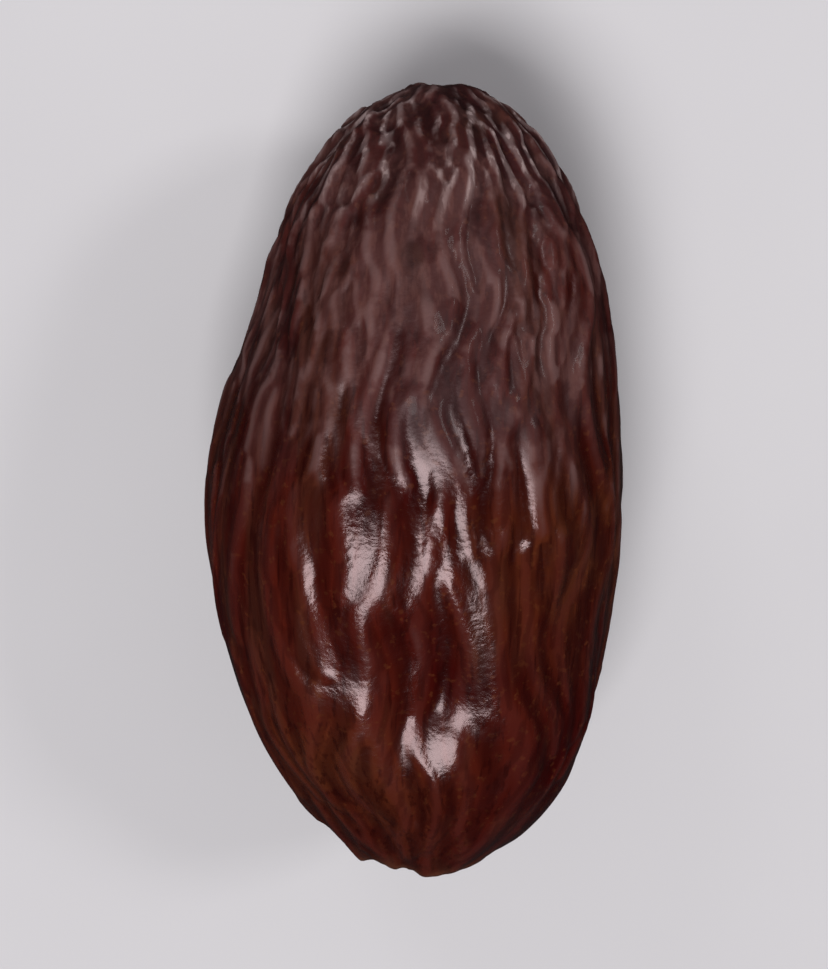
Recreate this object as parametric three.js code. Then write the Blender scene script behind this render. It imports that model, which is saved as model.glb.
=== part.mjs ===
// A dried jujube lying on its side: one fruit, one solid, with the dents, folds and pleats of its
// shrunken skin. Millimetres, +Z up. The fruit's axis runs along Y, with the tip at +Y and the stem end
// at -Y. The origin is on the surface that the fruit lies on, under the middle of its outline.
import * as THREE from "three";

const TAU = Math.PI * 2;
const GOLDEN_ANGLE = Math.PI * (3 - Math.sqrt(5));

// Driving dimensions of the fruit before its skin wrinkles.
const LENGTH = 24.2; // from the tip to the stem end
const WIDTH = 12.3;
const HEIGHT = 11.9; // a little less than the width, because it has sagged
const LOPSIDED = 0.1; // how far the stem half swells and the tip half is drawn in
const BLUNT = 0.2; // how much fuller both shoulders are than those of an ellipse
const BEND = 0.7; // how far the tip is bent towards +X

// Where the fruit lies on its side it is pressed flat, and its wrinkles fade out above that spot.
const PRESSED = { depth: 0.22, fade: 0.9 };

// Slow swelling of the whole form, and the patches where the skin is more and less wrinkled. Both come
// from fields of plane waves, whose lengths lie between two shares of the cell.
const SWELLING = { cell: 13, seed: 20, height: 0.15 };
const PATCHES = { cell: 8, seed: 40, least: -0.6, most: 0.9 };
const FIELD = { waves: 9, shortest: 0.7, longest: 1.5 };

// Broad dents left by drying: the direction that each faces from the middle, its reach and its depth.
// The first is the opposite, a cheek where the flesh is still plump.
const DENTS = [
  { towards: [0.82, 0.55, 0.15], reach: 5.0, depth: -0.3 },
  { towards: [-0.85, 0.5, 0.25], reach: 3.6, depth: 0.4 },
  { towards: [-0.02, -0.27, 0.95], reach: 2.2, depth: 0.45 },
  { towards: [0.08, -0.44, 0.89], reach: 2.7, depth: 0.7 },
  { towards: [0.75, -0.3, 0.45], reach: 4.2, depth: 0.35 },
  { towards: [0.2, 0.6, 0.75], reach: 3.0, depth: 0.25 },
  { towards: [-0.35, -0.75, 0.5], reach: 3.0, depth: 0.3 },
  { towards: [0.6, 0.35, -0.6], reach: 4.0, depth: 0.4 },
  { towards: [-0.75, -0.4, -0.5], reach: 4.0, depth: 0.4 },
];

// Two sizes of lengthwise wrinkle, each a field of short wave trains scattered over the skin. wave is
// the distance from crest to crest at the girth, tight the share of it that is left at the two ends, and
// lean the furthest that a train turns away from the axis. broad and long are a train's half width and
// half length, in waves, and peak makes the crests narrower than the valleys where it is over 1.
const FOLDS = {
  trains: 110, wave: 3.0, seed: 400, tight: 0.35, lean: 0.35, broad: 0.75, long: 1.9, peak: 0.8,
};
const PLEATS = {
  trains: 420, wave: 1.32, seed: 100, tight: 0.7, lean: 0.32, broad: 0.8, long: 2.3, peak: 1.3,
};
const FOLD_HEIGHT = 0.17;
const PLEAT_HEIGHT = { everywhere: 0.05, patches: 0.05, tip: 0.05 };
const WANDER = { cell: 4.5, seed: 60, seedStep: 7, folds: 0.3, pleats: 0.28 };
const TIP_HALF = { from: -0.2, to: 0.8 }; // the pleats grow taller along this part of the axis

// Every train is moved by chance, fades out through the flesh and, where it is weak, loses height.
const TRAIN = { scatter: 2.5, depth: 1.5, fullStrength: 0.6 };

// The wrinkles are gathered at both ends, where they are lower.
const GATHERED = { girth: 0.35, loss: 0.55 };

// The stem end is a cup with a low rim, and the scar of the stalk stands in it as a small hollow boss.
const CUP = { depth: 0.75, radius: 1.25, rimHeight: 0.16, rimRadius: 1.9, rimWidth: 0.45 };
const SCAR = { height: 0.38, radius: 0.62, edge: 0.22, pitDepth: 0.16, pitRadius: 0.3, pitEdge: 0.2 };

// The tip is a blunt point with a pit in it.
const TIP = { height: 0.3, radius: 1.3, pitDepth: 0.35, pitRadius: 0.5 };

// The skin is made of rings of points round the axis, closer together and with fewer points towards
// both ends. Each zone runs from the one before it up to an angle from the axis, in degrees, and the
// last ends at the girth.
const RING_ZONES = [
  { upTo: 6, rings: 3, points: 16 },
  { upTo: 12, rings: 4, points: 32 },
  { upTo: 23, rings: 4, points: 64 },
  { upTo: 90, rings: 20, points: 128 },
];

function mix(a, b, share) {
  return a + (b - a) * share;
}

function smoothstep(from, to, x) {
  const share = THREE.MathUtils.clamp((x - from) / (to - from), 0, 1);
  return share * share * (3 - 2 * share);
}

function bell(x) {
  return Math.exp(-x * x);
}

// A number from 0 to 1 that looks random but is the same in every run.
function draw(index, seed) {
  const x = Math.sin(index * 12.9898 + seed * 78.233) * 43758.5453;
  return x - Math.floor(x);
}

// Three such numbers as a vector, each from -0.5 to 0.5.
function drawVector(index, seed) {
  return new THREE.Vector3(draw(index, seed + 1), draw(index, seed + 2), draw(index, seed + 3))
    .subScalar(0.5);
}

// A smooth random field in space, mostly between -1 and 1, made of plane waves about one cell long.
function randomField({ cell, seed }) {
  const waves = Array.from({ length: FIELD.waves }, (_, i) => {
    const waveLength = cell * mix(FIELD.shortest, FIELD.longest, draw(i + 1, seed + 4));
    return {
      along: drawVector(i + 1, seed).normalize().multiplyScalar(TAU / waveLength),
      phase: TAU * draw(i + 1, seed + 5),
    };
  });
  return (point) => {
    const sum = waves.reduce((total, w) => total + Math.sin(point.dot(w.along) + w.phase), 0);
    return sum / Math.sqrt(FIELD.waves);
  };
}

// The smooth fruit at a unit direction from its middle: the point on the skin, and there the directions
// round the fruit, along it towards the stem, and outwards.
function smoothSkin(direction) {
  const cosine = THREE.MathUtils.clamp(direction.y, -1, 1);
  const sine = Math.sqrt(1 - cosine * cosine);
  const turn = Math.atan2(direction.x, direction.z);
  const sideways = Math.sin(turn);
  const upwards = Math.cos(turn);
  const fullness = 1 + (BLUNT * cosine - LOPSIDED) * cosine * sine ** 2;
  const swellingRate = LOPSIDED * (1 - 3 * cosine ** 2) - 2 * BLUNT * cosine * (1 - 2 * cosine ** 2);
  const slope = cosine * fullness + swellingRate * sine ** 2;
  const point = new THREE.Vector3(
    (sine * sideways * fullness * WIDTH) / 2,
    (cosine * LENGTH) / 2,
    (sine * upwards * fullness * HEIGHT) / 2,
  );
  const around = new THREE.Vector3(upwards * WIDTH, 0, -sideways * HEIGHT).normalize();
  const downhill = new THREE.Vector3(sideways * slope * WIDTH, -sine * LENGTH, upwards * slope * HEIGHT);
  const outward = new THREE.Vector3().crossVectors(downhill, around).normalize();
  const lengthwise = new THREE.Vector3().crossVectors(around, outward);
  return { point, around, lengthwise, outward, girth: sine, cosine };
}

// The wave trains of one size of wrinkle: a spiral of places over the skin, each moved, turned and timed
// by chance.
function waveTrains({ trains, wave, seed, tight, lean }) {
  const scatter = TRAIN.scatter / Math.sqrt(trains);
  return Array.from({ length: trains }, (_, i) => {
    const cosine = 1 - (2 * (i + 0.5)) / trains;
    const sine = Math.sqrt(1 - cosine * cosine);
    const turn = i * GOLDEN_ANGLE;
    const place = new THREE.Vector3(sine * Math.cos(turn), cosine, sine * Math.sin(turn));
    const skin = smoothSkin(place.addScaledVector(drawVector(i, seed), scatter).normalize());
    const leaning = lean * (2 * draw(i, seed + 4) - 1);
    const across = skin.around.clone().applyAxisAngle(skin.outward, leaning);
    return {
      ...skin,
      across,
      lengthwise: new THREE.Vector3().crossVectors(across, skin.outward),
      wave: wave * mix(tight, 1, skin.girth),
      phase: TAU * draw(i, seed + 5),
    };
  });
}

// The height of one size of wrinkle at a point, from about -0.5 in the valleys to 0.5 on the crests.
// Neighbouring trains add up to one wave, whose phase gives the profile, so that crests fork and run out.
function wrinkleField(layer) {
  const trains = waveTrains(layer);
  const offset = new THREE.Vector3();
  return (point) => {
    let cosines = 0;
    let sines = 0;
    for (const train of trains) {
      offset.subVectors(point, train.point);
      const sideways = offset.dot(train.across);
      const half = layer.broad * train.wave;
      const spread = (sideways / half) ** 2
        + (offset.dot(train.lengthwise) / (layer.long * train.wave)) ** 2
        + (offset.dot(train.outward) / (TRAIN.depth * half)) ** 2;
      const weight = Math.exp(-spread / 2);
      const angle = (TAU * sideways) / train.wave + train.phase;
      cosines += weight * Math.cos(angle);
      sines += weight * Math.sin(angle);
    }
    const strength = Math.hypot(cosines, sines) + Number.EPSILON;
    const crest = 0.5 + (0.5 * cosines) / strength;
    return (crest ** layer.peak - 0.5) * Math.min(1, strength / TRAIN.fullStrength);
  };
}

const swelling = randomField(SWELLING);
const patches = randomField(PATCHES);
const wander = [0, 1, 2].map((i) => (
  randomField({ cell: WANDER.cell, seed: WANDER.seed + i * WANDER.seedStep })
));
const folds = wrinkleField(FOLDS);
const pleats = wrinkleField(PLEATS);
const dents = DENTS.map(({ towards, reach, depth }) => ({
  middle: smoothSkin(new THREE.Vector3(...towards).normalize()).point,
  reach,
  depth,
}));
const restingLevel = PRESSED.depth - HEIGHT / 2;

// How far the skin stands out from the smooth fruit through drying alone.
function dryingRelief({ point, girth, cosine }) {
  const drift = new THREE.Vector3(...wander.map((field) => field(point)));
  const wrinkled = smoothstep(PATCHES.least, PATCHES.most, patches(point));
  const tipward = smoothstep(TIP_HALF.from, TIP_HALF.to, cosine);
  const { everywhere, patches: inPatches, tip } = PLEAT_HEIGHT;
  const pleatHeight = everywhere + inPatches * wrinkled + tip * tipward;
  let relief = SWELLING.height * swelling(point);
  relief += FOLD_HEIGHT * folds(point.clone().addScaledVector(drift, WANDER.folds));
  relief += pleatHeight * pleats(point.clone().addScaledVector(drift, WANDER.pleats));
  for (const dent of dents) {
    relief -= dent.depth * bell((Math.SQRT2 * point.distanceTo(dent.middle)) / dent.reach);
  }
  return relief * (1 - GATHERED.loss * smoothstep(GATHERED.girth, 0, girth));
}

// The cup and the stalk's scar at the stem end, and the point and its pit at the tip.
function endRelief({ point, cosine }) {
  const fromAxis = Math.hypot(point.x, point.z);
  if (cosine > 0) {
    return TIP.height * bell(fromAxis / TIP.radius) - TIP.pitDepth * bell(fromAxis / TIP.pitRadius);
  }
  const rim = CUP.rimHeight * bell((fromAxis - CUP.rimRadius) / CUP.rimWidth);
  const cup = CUP.depth * bell(fromAxis / CUP.radius);
  const boss = SCAR.height * smoothstep(SCAR.radius, SCAR.radius - SCAR.edge, fromAxis);
  const pit = SCAR.pitDepth * smoothstep(SCAR.pitRadius, SCAR.pitRadius - SCAR.pitEdge, fromAxis);
  return rim - cup + boss - pit;
}

// The finished skin at a unit direction, with the spot that the fruit lies on pressed flat.
function driedSkin(direction) {
  const skin = smoothSkin(direction);
  const clearOfRest = smoothstep(0, PRESSED.fade, skin.point.z - restingLevel);
  const relief = dryingRelief(skin) * clearOfRest + endRelief(skin);
  const point = skin.point.clone().addScaledVector(skin.outward, relief);
  point.x += BEND * Math.max(0, skin.cosine) ** 2;
  point.z = Math.max(point.z, restingLevel) - restingLevel;
  return point;
}

// The rings from the tip to the stem end, with a single point at each, numbered in that order.
function skinRings() {
  const tipHalf = [];
  let start = 0;
  for (const { upTo, rings, points } of RING_ZONES) {
    for (let i = 1; i <= rings; i += 1) {
      tipHalf.push({ polar: THREE.MathUtils.degToRad(mix(start, upTo, i / rings)), points });
    }
    start = upTo;
  }
  const stemHalf = tipHalf
    .slice(0, -1)
    .reverse()
    .map(({ polar, points }) => ({ polar: Math.PI - polar, points }));
  const rings = [{ polar: 0, points: 1 }, ...tipHalf, ...stemHalf, { polar: Math.PI, points: 1 }];
  let first = 0;
  for (const ring of rings) {
    ring.first = first;
    first += ring.points;
  }
  return rings;
}

// Triangles between two neighbouring rings, where a point of the sparser ring serves several of the other.
function stitch(above, below) {
  const steps = Math.max(above.points, below.points);
  const pointAt = (ring, step) => ring.first + (Math.floor((step * ring.points) / steps) % ring.points);
  const corners = [];
  for (let step = 0; step < steps; step += 1) {
    const [upper, upperNext] = [pointAt(above, step), pointAt(above, step + 1)];
    const [lower, lowerNext] = [pointAt(below, step), pointAt(below, step + 1)];
    if (upper !== upperNext) corners.push(upper, lower, upperNext);
    if (lower !== lowerNext) corners.push(upperNext, lower, lowerNext);
  }
  return corners;
}

function jujubeGeometry() {
  const rings = skinRings();
  const points = rings.flatMap((ring) => Array.from({ length: ring.points }, (_, i) => (
    driedSkin(new THREE.Vector3().setFromSphericalCoords(1, ring.polar, (TAU * i) / ring.points))
  )));
  const geometry = new THREE.BufferGeometry().setFromPoints(points);
  geometry.setIndex(rings.slice(1).flatMap((ring, i) => stitch(rings[i], ring)));
  geometry.computeBoundingBox();
  const middle = geometry.boundingBox.getCenter(new THREE.Vector3());
  geometry.translate(-middle.x, -middle.y, 0);
  geometry.computeVertexNormals();
  return geometry;
}

const driedSkinFinish = new THREE.MeshStandardMaterial({
  color: 0x481d18,
  roughness: 0.34,
  metalness: 0,
});

const jujube = new THREE.Mesh(jujubeGeometry(), driedSkinFinish);
jujube.name = "jujube";

const part = new THREE.Group();
part.add(jujube);

export default part;
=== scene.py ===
# A dried jujube lying on its side, seen from above: its wrinkled skin, a pale floor and soft light.
import math

import bmesh
import bpy
import numpy as np
from mathutils import Matrix, Vector


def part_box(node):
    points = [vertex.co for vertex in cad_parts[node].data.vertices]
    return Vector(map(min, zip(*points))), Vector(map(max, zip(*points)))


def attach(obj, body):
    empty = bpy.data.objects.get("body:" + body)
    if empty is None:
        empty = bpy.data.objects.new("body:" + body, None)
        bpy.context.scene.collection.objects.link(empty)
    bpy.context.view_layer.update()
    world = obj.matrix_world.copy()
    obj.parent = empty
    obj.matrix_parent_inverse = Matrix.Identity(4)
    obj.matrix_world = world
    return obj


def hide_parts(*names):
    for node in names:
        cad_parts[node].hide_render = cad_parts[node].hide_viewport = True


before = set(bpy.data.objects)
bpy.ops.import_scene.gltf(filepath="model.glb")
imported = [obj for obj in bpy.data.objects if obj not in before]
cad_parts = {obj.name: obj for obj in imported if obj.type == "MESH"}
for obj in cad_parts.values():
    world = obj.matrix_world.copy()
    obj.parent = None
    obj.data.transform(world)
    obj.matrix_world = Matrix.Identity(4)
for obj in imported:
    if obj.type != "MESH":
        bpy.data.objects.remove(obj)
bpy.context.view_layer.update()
mm = 0.001  # the fruit's form is worked out in millimetres, and Blender is in metres
tau = 2 * math.pi
goldenAngle = math.pi * (3 - math.sqrt(5))

# The fruit before its skin wrinkles, in mm, with the axis along Y and the tip at +Y: the solid's own form.
fruit = {
    "length": 24.2,
    "width": 12.3,
    "height": 11.9,
    "lopsided": 0.1,  # how far the stem half swells and the tip half is drawn in
    "blunt": 0.2,  # how much fuller both shoulders are than those of an ellipse
    "bend": 0.7,  # how far the tip is bent to +X
    "pressedDepth": 0.22,  # the flat spot that it lies on
    "pressedFade": 0.9,  # the wrinkles come back over this height above the spot
    "gridPerEdge": 128,  # faces along one edge of the cube that the skin is blown up from
}

# Slow fields over the whole skin, in mm. Each is a sum of plane waves from shortest to longest cells long.
field = {"waves": 9, "shortest": 0.7, "longest": 1.5}
swelling = {"cell": 13, "seed": 20, "height": 0.15}
patches = {"cell": 8, "seed": 40, "least": -0.6, "most": 0.9}  # where it is more and less wrinkled
wander = {"cell": 4.5, "seed": 60, "seedStep": 7}  # bends the wrinkles

# Broad dents left by drying, in mm. The first is the opposite, a cheek where the flesh is still plump.
dents = [
    {"towards": (0.82, 0.55, 0.15), "reach": 5.0, "depth": -0.3},
    {"towards": (-0.85, 0.5, 0.25), "reach": 3.6, "depth": 0.4},
    {"towards": (-0.02, -0.27, 0.95), "reach": 2.2, "depth": 0.45},
    {"towards": (0.08, -0.44, 0.89), "reach": 2.7, "depth": 0.7},
    {"towards": (0.75, -0.3, 0.45), "reach": 4.2, "depth": 0.35},
    {"towards": (0.2, 0.6, 0.75), "reach": 3.0, "depth": 0.25},
    {"towards": (-0.35, -0.75, 0.5), "reach": 3.0, "depth": 0.3},
    {"towards": (0.6, 0.35, -0.6), "reach": 4.0, "depth": 0.4},
    {"towards": (-0.75, -0.4, -0.5), "reach": 4.0, "depth": 0.4},
]

# Four sizes of lengthwise wrinkle, each a field of short wave trains, in mm. The first two are the solid's
# own. tight is the share of the wave left at the ends, lean the furthest turn from the axis, broad and long
# a train's half width and half length in waves, and drift how far the slow field carries it. Heights:
# everywhere, more in the wrinkled patches, and more towards the tip.
wrinkles = {
    "folds": {
        "trains": 110, "wave": 3.0, "seed": 400, "tight": 0.35, "lean": 0.35, "broad": 0.75, "long": 1.9,
        "peak": 0.8, "drift": 0.3, "heights": (0.17, 0, 0),
    },
    "pleats": {
        "trains": 420, "wave": 1.32, "seed": 100, "tight": 0.7, "lean": 0.32, "broad": 0.8, "long": 2.3,
        "peak": 1.3, "drift": 0.28, "heights": (0.05, 0.05, 0.05),
    },
    "crinkles": {
        "trains": 1300, "wave": 0.68, "seed": 200, "tight": 0.5, "lean": 0.4, "broad": 0.8, "long": 2.6,
        "peak": 1.3, "drift": 0.2, "heights": (0.005, 0.016, 0.047),
    },
    "creases": {
        "trains": 3000, "wave": 0.36, "seed": 300, "tight": 0.6, "lean": 0.9, "broad": 0.75, "long": 1.6,
        "peak": 1.0, "drift": 0.1, "heights": (0.001, 0.004, 0.014),
    },
}
# Of a train: how far chance scatters its middle, in spacings, its half depth and where it is cut off, in
# half widths, and the strength from which its wave has its full height.
train = {"scatter": 2.5, "depth": 1.5, "furthest": 3.6, "fullStrength": 0.6}
tipHalf = {"start": -0.2, "end": 0.8}  # the wrinkles grow taller along this part of the axis
gathered = {"girth": 0.35, "loss": 0.55}  # and are lower where both ends gather them

# Where the finish changes, as places along the axis from -1 at the stem end to 1 at the tip.
# Towards the stem end the skin darkens: partly its own darker stem end, partly painted shade.
darkerStem = {"start": -0.4, "end": -1.0}  # the skin darkens
scuffedAndHighlit = {"start": 0.68, "full": 0.88, "fade": 0.96}  # the ridges are paler: partly rubbed, partly a painted highlight
# The tip half has a dusty film, which reaches further along the crests.
dullHalf = {"start": -0.1, "end": 0.68, "cell": 5, "seed": 80, "unevenness": 0.17, "alongCrests": 0.22}
# Where the skin is more orange than maroon, in mm.
warmPatches = [
    {"towards": (0.78, -0.05, 0.62), "reach": 4.5},
    {"towards": (-0.42, -0.68, 0.6), "reach": 4.5},
    {"towards": (0.3, -0.35, -0.8), "reach": 5.0},
    {"towards": (-0.85, 0.15, -0.5), "reach": 4.5},
]

# The two ends, in mm: a cup with a low rim round the stalk's scar, and a blunt point with a pit in it.
stemEnd = {
    "cupDepth": 0.75, "cupRadius": 1.25, "rimHeight": 0.16, "rimRadius": 1.9, "rimWidth": 0.45,
    "scarHeight": 0.38, "scarRadius": 0.62, "scarEdge": 0.22, "corkMargin": 0.1,
    "pitDepth": 0.16, "pitRadius": 0.3, "pitEdge": 0.2,
}
tipEnd = {"height": 0.3, "radius": 1.3, "pitDepth": 0.35, "pitRadius": 0.5}


def unit(v):
    return v / np.linalg.norm(v, axis=-1, keepdims=True)


def smoothstep(low, high, x):
    share = np.clip((x - low) / (high - low), 0, 1)
    return share * share * (3 - 2 * share)


def bell(x):
    return np.exp(-x * x)


# A number from 0 to 1 that looks random but is the same in every run.
def draw(index, seed):
    x = np.sin(index * 12.9898 + seed * 78.233) * 43758.5453
    return x - np.floor(x)


# A smooth random field, mostly from -1 to 1, made of plane waves about one cell long.
def randomField(points, cell, seed):
    index = np.arange(1, field["waves"] + 1)
    along = unit(np.stack([draw(index, seed + i) - 0.5 for i in (1, 2, 3)], axis=1))
    waveLength = cell * (field["shortest"] + (field["longest"] - field["shortest"]) * draw(index, seed + 4))
    along *= (tau / waveLength)[:, None]
    return np.sin(points @ along.T + tau * draw(index, seed + 5)).sum(axis=1) / math.sqrt(field["waves"])


# The smooth fruit at unit directions from its middle, with the directions round it and outwards, its girth
# and its place along the axis.
def smoothSkin(direction):
    cosine = np.clip(direction[:, 1], -1, 1)
    sine = np.sqrt(1 - cosine**2)
    turn = np.arctan2(direction[:, 0], direction[:, 2])
    fullness = 1 + (fruit["blunt"] * cosine - fruit["lopsided"]) * cosine * sine**2
    rate = fruit["lopsided"] * (1 - 3 * cosine**2) - 2 * fruit["blunt"] * cosine * (1 - 2 * cosine**2)
    slope = cosine * fullness + rate * sine**2
    wide, long, high = fruit["width"], fruit["length"], fruit["height"]
    sideways, upwards = np.sin(turn), np.cos(turn)
    plump = sine * fullness
    point = np.stack([plump * sideways * wide, cosine * long, plump * upwards * high], axis=1) / 2
    around = unit(np.stack([upwards * wide, np.zeros_like(turn), -sideways * high], axis=1))
    downhill = np.stack([sideways * slope * wide, -sine * long, upwards * slope * high], axis=1)
    outward = unit(np.cross(downhill, around))
    return {"point": point, "around": around, "outward": outward, "girth": sine, "cosine": cosine}


# One size of wrinkle at every point, from about -0.5 in the valleys to 0.5 on the crests. Neighbouring
# trains add up to one wave, whose phase gives the profile, so the crests fork and run out.
def wrinkleField(points, size):
    index = np.arange(size["trains"])
    cosine = 1 - 2 * (index + 0.5) / size["trains"]
    sine = np.sqrt(1 - cosine**2)
    turn = index * goldenAngle
    spiral = np.stack([sine * np.cos(turn), cosine, sine * np.sin(turn)], axis=1)
    chance = np.stack([draw(index, size["seed"] + i) - 0.5 for i in (1, 2, 3)], axis=1)
    skin = smoothSkin(unit(spiral + train["scatter"] / math.sqrt(size["trains"]) * chance))
    lean = (size["lean"] * (2 * draw(index, size["seed"] + 4) - 1))[:, None]
    across = skin["around"] * np.cos(lean) + np.cross(skin["outward"], skin["around"]) * np.sin(lean)
    lengthwise = np.cross(across, skin["outward"])
    wave = size["wave"] * (size["tight"] + (1 - size["tight"]) * skin["girth"])
    phase = tau * draw(index, size["seed"] + 5)
    order = np.argsort(points[:, 1])
    inOrder = points[order]
    cosines, sines = np.zeros(len(points)), np.zeros(len(points))
    for i in index:
        reach = train["furthest"] * max(size["broad"], size["long"]) * wave[i]
        middle = skin["point"][i]
        first, last = np.searchsorted(inOrder[:, 1], (middle[1] - reach, middle[1] + reach))
        offset = inOrder[first:last] - middle
        half = size["broad"] * wave[i]
        beside = offset @ across[i]
        spread = (beside / half) ** 2
        spread += (offset @ lengthwise[i] / (size["long"] * wave[i])) ** 2
        spread += (offset @ skin["outward"][i] / (train["depth"] * half)) ** 2
        near = np.flatnonzero(spread < train["furthest"] ** 2)
        weight = np.exp(-spread[near] / 2)
        angle = tau * beside[near] / wave[i] + phase[i]
        cosines[first + near] += weight * np.cos(angle)
        sines[first + near] += weight * np.sin(angle)
    strength = np.hypot(cosines, sines) + 1e-9
    crest = 0.5 + 0.5 * cosines / strength
    height = np.empty(len(points))
    height[order] = (crest ** size["peak"] - 0.5) * np.minimum(1, strength / train["fullStrength"])
    return height


# The cup and the stalk's scar at the stem end, and the point and its pit at the tip.
def endRelief(fromAxis, cosine):
    tip = tipEnd["height"] * bell(fromAxis / tipEnd["radius"])
    tip -= tipEnd["pitDepth"] * bell(fromAxis / tipEnd["pitRadius"])
    stem = stemEnd["rimHeight"] * bell((fromAxis - stemEnd["rimRadius"]) / stemEnd["rimWidth"])
    stem -= stemEnd["cupDepth"] * bell(fromAxis / stemEnd["cupRadius"])
    scar, pit = stemEnd["scarRadius"], stemEnd["pitRadius"]
    stem += stemEnd["scarHeight"] * smoothstep(scar, scar - stemEnd["scarEdge"], fromAxis)
    stem -= stemEnd["pitDepth"] * smoothstep(pit, pit - stemEnd["pitEdge"], fromAxis)
    return np.where(cosine > 0, tip, stem)


# How near points are to the middle of a dent or patch: 1 in the middle, and almost 0 past its reach.
def nearness(points, spot):
    middle = smoothSkin(unit(np.array([spot["towards"]])))["point"]
    return bell(math.sqrt(2) * np.linalg.norm(points - middle, axis=1) / spot["reach"])


# The finished skin at unit directions, and the marks that its finish is painted by.
def driedSkin(direction):
    skin = smoothSkin(direction)
    point, cosine = skin["point"], skin["cosine"]
    wrinkled = randomField(point, patches["cell"], patches["seed"])
    wrinkled = smoothstep(patches["least"], patches["most"], wrinkled)
    tipward = smoothstep(tipHalf["start"], tipHalf["end"], cosine)
    seeds = [wander["seed"] + i * wander["seedStep"] for i in range(3)]
    drift = np.stack([randomField(point, wander["cell"], seed) for seed in seeds], axis=1)
    relief = swelling["height"] * randomField(point, swelling["cell"], swelling["seed"])
    # darker towards the stem end: partly the skin's own colour, partly painted shade
    stemward = smoothstep(darkerStem["start"], darkerStem["end"], cosine)
    warm = np.maximum.reduce([nearness(point, patch) for patch in warmPatches])
    marks = {"stemward": stemward, "warm": warm}
    for name, size in wrinkles.items():
        marks[name] = wrinkleField(point + size["drift"] * drift, size)
        everywhere, inPatches, nearTip = size["heights"]
        relief += (everywhere + inPatches * wrinkled + nearTip * tipward) * marks[name]
    film = cosine + dullHalf["unevenness"] * randomField(point, dullHalf["cell"], dullHalf["seed"])
    film += dullHalf["alongCrests"] * (marks["pleats"] + marks["crinkles"])
    marks["dull"] = smoothstep(dullHalf["start"], dullHalf["end"], film)
    for dent in dents:
        relief -= dent["depth"] * nearness(point, dent)
    relief *= 1 - gathered["loss"] * smoothstep(gathered["girth"], 0, skin["girth"])
    restingLevel = fruit["pressedDepth"] - fruit["height"] / 2
    relief *= smoothstep(0, fruit["pressedFade"], point[:, 2] - restingLevel)
    fromAxis = np.hypot(point[:, 0], point[:, 2])
    dried = point + skin["outward"] * (relief + endRelief(fromAxis, cosine))[:, None]
    dried[:, 0] += fruit["bend"] * np.maximum(0, cosine) ** 2
    dried[:, 2] = np.maximum(dried[:, 2], restingLevel) - restingLevel
    stem = cosine < 0
    corkEdge = stemEnd["scarRadius"] + stemEnd["corkMargin"]
    corkFull = stemEnd["scarRadius"] - stemEnd["scarEdge"]
    marks["scar"] = stem * smoothstep(corkEdge, corkFull, fromAxis)
    # the cup, which is darkened with painted shade
    marks["cup"] = stem * bell(fromAxis / stemEnd["cupRadius"])
    # the tip's ridges are paled: partly rubbed, partly a painted highlight
    rubbedAndHighlit = smoothstep(scuffedAndHighlit["start"], scuffedAndHighlit["full"], cosine)
    marks["scuffedAndHighlit"] = rubbedAndHighlit * smoothstep(1, scuffedAndHighlit["fade"], cosine)
    marks["rim"] = stem * bell((fromAxis - stemEnd["rimRadius"]) / stemEnd["rimWidth"])
    return dried, marks


# A cube blown up to a ball, whose grid has no poles, and then to the fruit, inside the box of the solid.
def makeSkin():
    grid = bmesh.new()
    bmesh.ops.create_cube(grid, size=2)
    bmesh.ops.subdivide_edges(grid, edges=grid.edges[:], cuts=fruit["gridPerEdge"] - 1, use_grid_fill=True)
    mesh = bpy.data.meshes.new("jujube_skin")
    grid.to_mesh(mesh)
    grid.free()
    onCube = np.empty(3 * len(mesh.vertices))
    mesh.vertices.foreach_get("co", onCube)
    direction = unit(np.tan(onCube.reshape(-1, 3) * math.pi / 4))
    dried, marks = driedSkin(direction)
    lowest, highest = (np.array(corner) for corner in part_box("jujube"))
    span = dried.max(axis=0) - dried.min(axis=0)
    dried = lowest + (dried - dried.min(axis=0)) / span * (highest - lowest)
    mesh.vertices.foreach_set("co", dried.ravel())
    for name, values in marks.items():
        mesh.attributes.new(name, "FLOAT", "POINT").data.foreach_set("value", values.astype(np.float32))
    mesh.shade_smooth()
    mesh.update()
    skin = bpy.data.objects.new("jujube_skin", mesh)
    bpy.context.scene.collection.objects.link(skin)
    stretch = np.round((highest - lowest) / (span * mm), 4)
    print("skin", len(mesh.polygons), "faces, stretched to the solid by", stretch)
    return skin


# One node, with its settings, and its inputs either set or linked.
def addNode(tree, kind, inputs=None, **settings):
    node = tree.nodes.new(kind)
    for name, value in settings.items():
        setattr(node, name, value)
    for socket, value in (inputs or {}).items():
        if isinstance(value, bpy.types.NodeSocket):
            tree.links.new(value, node.inputs[socket])
        else:
            node.inputs[socket].default_value = value
    return node


def blendColour(tree, share, first, second):
    inputs = {"Factor": share, 6: first, 7: second}  # the sockets A and B of a colour mix
    return addNode(tree, "ShaderNodeMix", inputs, data_type="RGBA").outputs[2]


def remap(tree, value, low, high, toLow, toHigh):
    inputs = {"Value": value, "From Min": low, "From Max": high, "To Min": toLow, "To Max": toHigh}
    return addNode(tree, "ShaderNodeMapRange", inputs, interpolation_type="SMOOTHSTEP").outputs["Result"]


def calculate(tree, how, first, second):
    return addNode(tree, "ShaderNodeMath", {0: first, 1: second}, operation=how).outputs[0]


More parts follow.
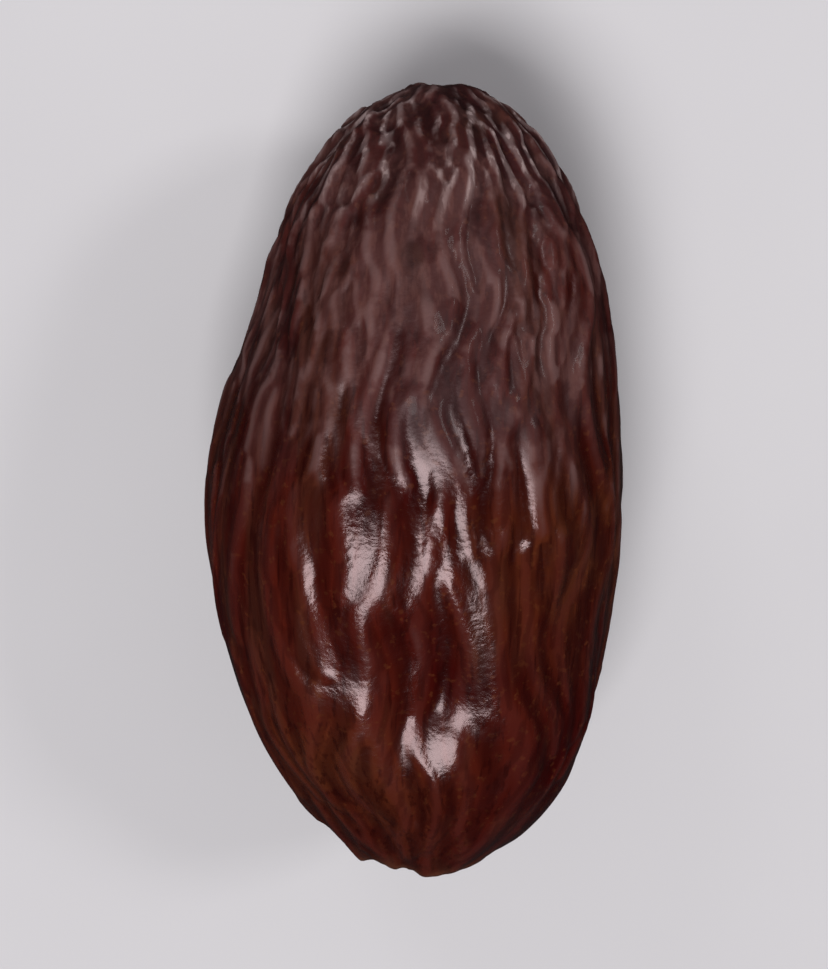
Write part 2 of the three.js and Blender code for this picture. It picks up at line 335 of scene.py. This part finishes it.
# Soft blotches, drawn out where Stretch is under 1: the mottling of the skin and of the floor.
def makeMottling():
    group = bpy.data.node_groups.new("mottling", "ShaderNodeTree")
    for name, kind, value in (
        ("Scale", "NodeSocketFloat", 200.0),
        ("Stretch", "NodeSocketVector", (1.0, 1.0, 1.0)),
        ("Low", "NodeSocketFloat", 0.4),
        ("High", "NodeSocketFloat", 0.6),
    ):
        group.interface.new_socket(name, in_out="INPUT", socket_type=kind).default_value = value
    group.interface.new_socket("Mask", in_out="OUTPUT", socket_type="NodeSocketFloat")
    given = addNode(group, "NodeGroupInput").outputs
    place = addNode(group, "ShaderNodeTexCoord").outputs["Object"]
    stretched = {0: place, 1: given["Stretch"]}
    drawn = addNode(group, "ShaderNodeVectorMath", stretched, operation="MULTIPLY").outputs[0]
    noise = addNode(group, "ShaderNodeTexNoise", {"Vector": drawn, "Scale": given["Scale"], "Detail": 4.0})
    mask = remap(group, noise.outputs["Fac"], given["Low"], given["High"], 0.0, 1.0)
    addNode(group, "NodeGroupOutput", {"Mask": mask})
    return group


mottling = makeMottling()


def mottle(tree, scale, low, high, stretch=(1, 1, 1)):
    node = addNode(tree, "ShaderNodeGroup", node_tree=mottling)
    for name, value in (("Scale", scale), ("Low", low), ("High", high), ("Stretch", stretch)):
        node.inputs[name].default_value = value
    return node.outputs["Mask"]


skinFinish = {
    "maroon": (0.036, 0.0009, 0.0007, 1),
    "redBrown": (0.076, 0.0078, 0.0036, 1),
    "orangeBrown": (0.105, 0.026, 0.008, 1),
    "plum": (0.034, 0.0026, 0.0056, 1),
    "streaks": (0.075, 0.022, 0.011, 1),
    # paler crests: partly wear and dust, partly painted sheen
    "crests": (0.085, 0.015, 0.011, 1),
    # painted shade for the wrinkles' valleys, the cup and the darker stem end, and the colour of the fine
    # dark threads
    "paintedShadeAndThreads": (0.015, 0.0004, 0.0003, 1),
    "film": (0.080, 0.025, 0.022, 1),  # dust on the tip half
    "dustyCrests": (0.180, 0.098, 0.092, 1),
    "fibres": (0.135, 0.050, 0.040, 1),
    # pale on the tip's ridges: partly rubbed, partly a painted highlight
    "scuffsAndHighlights": (0.420, 0.310, 0.300, 1),
    "cork": (0.42, 0.30, 0.17, 1),
    "cupRim": (0.12, 0.042, 0.022, 1),
    "roughness": (0.16, 0.55),  # stem half, tip half
    "specularLevel": 0.5,
    "specularTint": (1.0, 0.76, 0.78, 1),  # light that comes back through the red skin
    "coatWeight": 0.05,
    "coatRoughness": 0.12,
    "scarRoughness": 0.4,  # added on the scar
    "grainDepth": 0.01 * mm,
    "grainStrength": 0.5,
}

# Blotches of the finish: how fine, where they start and are full in the noise, and how they are drawn out
# along the fruit. most is their share where they are full, and shares eases it from thin to full.
blotches = {
    "mottled": {"scale": 190, "low": 0.40, "high": 0.65},
    "warm": {"scale": 500, "low": 0.35, "high": 0.60, "shares": (0.25, 0.75)},
    "plum": {"scale": 110, "low": 0.54, "high": 0.70, "most": 0.6},
    "streaks": {"scale": 900, "low": 0.50, "high": 0.68, "stretch": (1, 0.12, 1), "most": 0.6},
    "threads": {"scale": 5500, "low": 0.50, "high": 0.68, "stretch": (1, 0.1, 1), "most": 0.6},
    "specks": {"scale": 4200, "low": 0.58, "high": 0.68, "most": 0.5},
    "film": {"scale": 520, "low": 0.43, "high": 0.57, "shares": (0, 0.48)},
    "fibres": {"scale": 5000, "low": 0.46, "high": 0.66, "stretch": (1, 0.08, 1)},
    "scuffsAndHighlights": {"scale": 1100, "low": 0.38, "high": 0.58, "stretch": (1, 0.4, 1)},
    "rim": {"scale": 1100, "low": 0.35, "high": 0.65, "shares": (0.15, 0.6)},
    "gloss": {"scale": 900, "low": 0.3, "high": 0.7, "most": 0.08},
    "grain": {"scale": 5200, "low": 0.25, "high": 0.75},
}

# How a wrinkle tints the skin: two heights on it, and the share of the colour at each. The valleys get
# painted shade, the pleat crests are paler partly from wear and partly as painted sheen, and the scuffed
# crests at the tip are partly rubbed and partly a painted highlight.
tints = {
    "pleatCrestWearAndSheen": (0.0, 0.5, 0.0, 0.35),
    "pleatValleyShade": (-0.5, -0.1, 0.5, 0.0),
    "crinkleValleyShade": (-0.5, -0.1, 0.35, 0.0),
    "dustyCrests": (-0.1, 0.5, 0.0, 1.0),
    "scuffedAndHighlitCrests": (-0.2, 0.5, 0.0, 0.95),
}

# Shares of one effect in another.
amounts = {
    "stemward": 0.45,
    "pleatsInDust": 0.5,
    "crinklesInDust": 0.7,
    "fibres": 0.9,
    "scuffsAndHighlightsBetweenFibres": 0.35,
    "cup": 0.7,
}


def makeSkinMaterial():
    material = bpy.data.materials.new("dried_skin")
    material.use_nodes = True
    tree = material.node_tree
    shader = tree.nodes["Principled BSDF"]

    def mark(name):
        return addNode(tree, "ShaderNodeAttribute", attribute_name=name).outputs["Fac"]

    def share(value, most):
        return calculate(tree, "MULTIPLY", value, most)

    def blotch(name):
        look = dict(blotches[name])
        most, shares = look.pop("most", 1), look.pop("shares", None)
        mask = mottle(tree, **look)
        return remap(tree, mask, 0, 1, *shares) if shares else share(mask, most)

    # colour: mottled maroon and red-brown, with orange and plum patches and lengthwise streaks
    colour = blendColour(tree, blotch("mottled"), skinFinish["maroon"], skinFinish["redBrown"])

    def paint(name, mask):
        nonlocal colour
        colour = blendColour(tree, mask, colour, skinFinish[name])

    paint("orangeBrown", share(mark("warm"), blotch("warm")))
    paint("plum", blotch("plum"))
    paint("streaks", blotch("streaks"))
    paint("paintedShadeAndThreads", blotch("threads"))
    paint("orangeBrown", blotch("specks"))
    # darker towards the stem end: partly the skin's own colour, partly painted shade
    paint("paintedShadeAndThreads", share(mark("stemward"), amounts["stemward"]))

    # it is paler on the crests, partly from wear and partly as painted sheen, and dark in the valleys as
    # painted shade, and the film of dust is palest on the crests
    paint("crests", remap(tree, mark("pleats"), *tints["pleatCrestWearAndSheen"]))
    paint("paintedShadeAndThreads", remap(tree, mark("pleats"), *tints["pleatValleyShade"]))
    paint("paintedShadeAndThreads", remap(tree, mark("crinkles"), *tints["crinkleValleyShade"]))
    dusty = share(mark("dull"), blotch("film"))
    paint("film", dusty)
    pleated = share(mark("pleats"), amounts["pleatsInDust"])
    crinkled = share(mark("crinkles"), amounts["crinklesInDust"])
    crests = calculate(tree, "ADD", pleated, crinkled)
    paint("dustyCrests", share(dusty, remap(tree, crests, *tints["dustyCrests"])))

    # fine pale fibres run along the dull skin, and where the tip gathers its ridges they are paler, partly
    # rubbed and partly a painted highlight
    fibrous = blotch("fibres")
    paint("fibres", share(dusty, share(fibrous, amounts["fibres"])))
    scuffsAndHighlights = share(mark("scuffedAndHighlit"), remap(tree, mark("crinkles"), *tints["scuffedAndHighlitCrests"]))
    scuffsAndHighlights = share(scuffsAndHighlights, blotch("scuffsAndHighlights"))
    paint("scuffsAndHighlights", share(scuffsAndHighlights, remap(tree, fibrous, 0, 1, amounts["scuffsAndHighlightsBetweenFibres"], 1)))

    # the cup at the stem end is darkened with painted shade, with a paler rim and a corky scar in the
    # middle
    paint("paintedShadeAndThreads", share(mark("cup"), amounts["cup"]))
    paint("cupRim", share(mark("rim"), blotch("rim")))
    paint("cork", mark("scar"))
    tree.links.new(colour, shader.inputs["Base Color"])

    # gloss: the stem half is glossier, and the dusty film and the scar are dull
    smoother, duller = skinFinish["roughness"]
    roughness = remap(tree, mark("dull"), 0, 1, smoother, duller)
    roughness = calculate(tree, "ADD", roughness, blotch("gloss"))
    roughness = calculate(tree, "ADD", roughness, share(mark("scar"), skinFinish["scarRoughness"]))
    tree.links.new(roughness, shader.inputs["Roughness"])
    shader.inputs["Specular IOR Level"].default_value = skinFinish["specularLevel"]
    shader.inputs["Specular Tint"].default_value = skinFinish["specularTint"]
    shader.inputs["Coat Weight"].default_value = skinFinish["coatWeight"]
    shader.inputs["Coat Roughness"].default_value = skinFinish["coatRoughness"]

    # grain: a leathery texture finer than the modelled wrinkles
    bump = addNode(tree, "ShaderNodeBump", {"Height": blotch("grain")})
    bump.inputs["Strength"].default_value = skinFinish["grainStrength"]
    bump.inputs["Distance"].default_value = skinFinish["grainDepth"]
    tree.links.new(bump.outputs["Normal"], shader.inputs["Normal"])
    return material


skin = makeSkin()
skin.data.materials.append(makeSkinMaterial())
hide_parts("jujube")
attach(skin, "root")
print("skin finished")

floorPlan = {
    "size": 8.0,
    "drop": 0.01 * mm,  # so that it doesn't share a plane with the fruit's flat spot
    "colour": (0.66, 0.64, 0.66, 1),
    "shade": (0.62, 0.60, 0.62, 1),
    "roughness": 0.7,
    "mottling": {"scale": 25, "low": 0.3, "high": 0.7},
}


def makeFloor():
    bpy.ops.mesh.primitive_plane_add(size=floorPlan["size"], location=(0, 0, -floorPlan["drop"]))
    floor = bpy.context.object
    floor.name = "floor"
    material = bpy.data.materials.new("matt_card")
    material.use_nodes = True
    tree = material.node_tree
    shader = tree.nodes["Principled BSDF"]
    mottled = mottle(tree, **floorPlan["mottling"])
    colour = blendColour(tree, mottled, floorPlan["colour"], floorPlan["shade"])
    tree.links.new(colour, shader.inputs["Base Color"])
    shader.inputs["Roughness"].default_value = floorPlan["roughness"]
    floor.data.materials.append(material)
    floor.visible_glossy = False  # a dark skin would otherwise mirror the pale floor all round its edge


makeFloor()
print("floor laid")

# The camera looks down on the fruit from a little beyond its tip, which is at the top of the picture.
camera = {"lookAt": (0, 0, 0.0055), "tilt": 13, "distance": 0.07, "lens": 85, "nearest": 0.001}
lamps = {
    "key": {"place": (-0.21, -0.48, 1.45), "size": (0.80, 0.62), "watts": 17.0},
    "fill": {"place": (1.3, 0.5, 1.2), "size": (0.35, 0.35), "watts": 6.5},
    "back": {"place": (-0.7, 1.5, 1.0), "size": (0.4, 0.4), "watts": 2.2},
}
surroundings = {"colour": (0.97, 0.96, 1.0, 1), "strength": 0.25, "mirrored": 0.02, "seen": 0.65}


def makeCamera():
    data = bpy.data.cameras.new("camera")
    data.lens = camera["lens"]
    data.clip_start = camera["nearest"]
    seen = bpy.data.objects.new("camera", data)
    bpy.context.scene.collection.objects.link(seen)
    tilt = math.radians(camera["tilt"])
    back = Vector((0, math.sin(tilt), math.cos(tilt)))
    right = Vector((1, 0, 0))
    turn = Matrix((right, back.cross(right), back)).transposed().to_4x4()
    seen.matrix_world = Matrix.Translation(Vector(camera["lookAt"]) + back * camera["distance"]) @ turn
    bpy.context.scene.camera = seen


def makeLight():
    for name, lamp in lamps.items():
        data = bpy.data.lights.new(name, "AREA")
        data.shape = "RECTANGLE"
        data.size, data.size_y = lamp["size"]
        data.energy = lamp["watts"]
        light = bpy.data.objects.new(name, data)
        bpy.context.scene.collection.objects.link(light)
        light.location = lamp["place"]
        light.rotation_mode = "QUATERNION"
        light.rotation_quaternion = (light.location - Vector(camera["lookAt"])).to_track_quat("Z", "Y")
    world = bpy.data.worlds.new("surroundings")
    world.use_nodes = True
    tree = world.node_tree
    background = tree.nodes["Background"]
    background.inputs["Color"].default_value = surroundings["colour"]
    # it lights the scene softly, shows as a pale backdrop, and is hardly mirrored in the dark skin
    soft, mirrored, seen = (surroundings[name] for name in ("strength", "mirrored", "seen"))
    rays = addNode(tree, "ShaderNodeLightPath").outputs
    strength = remap(tree, rays["Is Glossy Ray"], 0, 1, soft, mirrored)
    extra = calculate(tree, "MULTIPLY", rays["Is Camera Ray"], seen - soft)
    strength = calculate(tree, "ADD", strength, extra)
    tree.links.new(strength, background.inputs["Strength"])
    bpy.context.scene.world = world
    bpy.context.scene.view_settings.view_transform = "Standard"


makeCamera()
makeLight()
print("camera and light set")
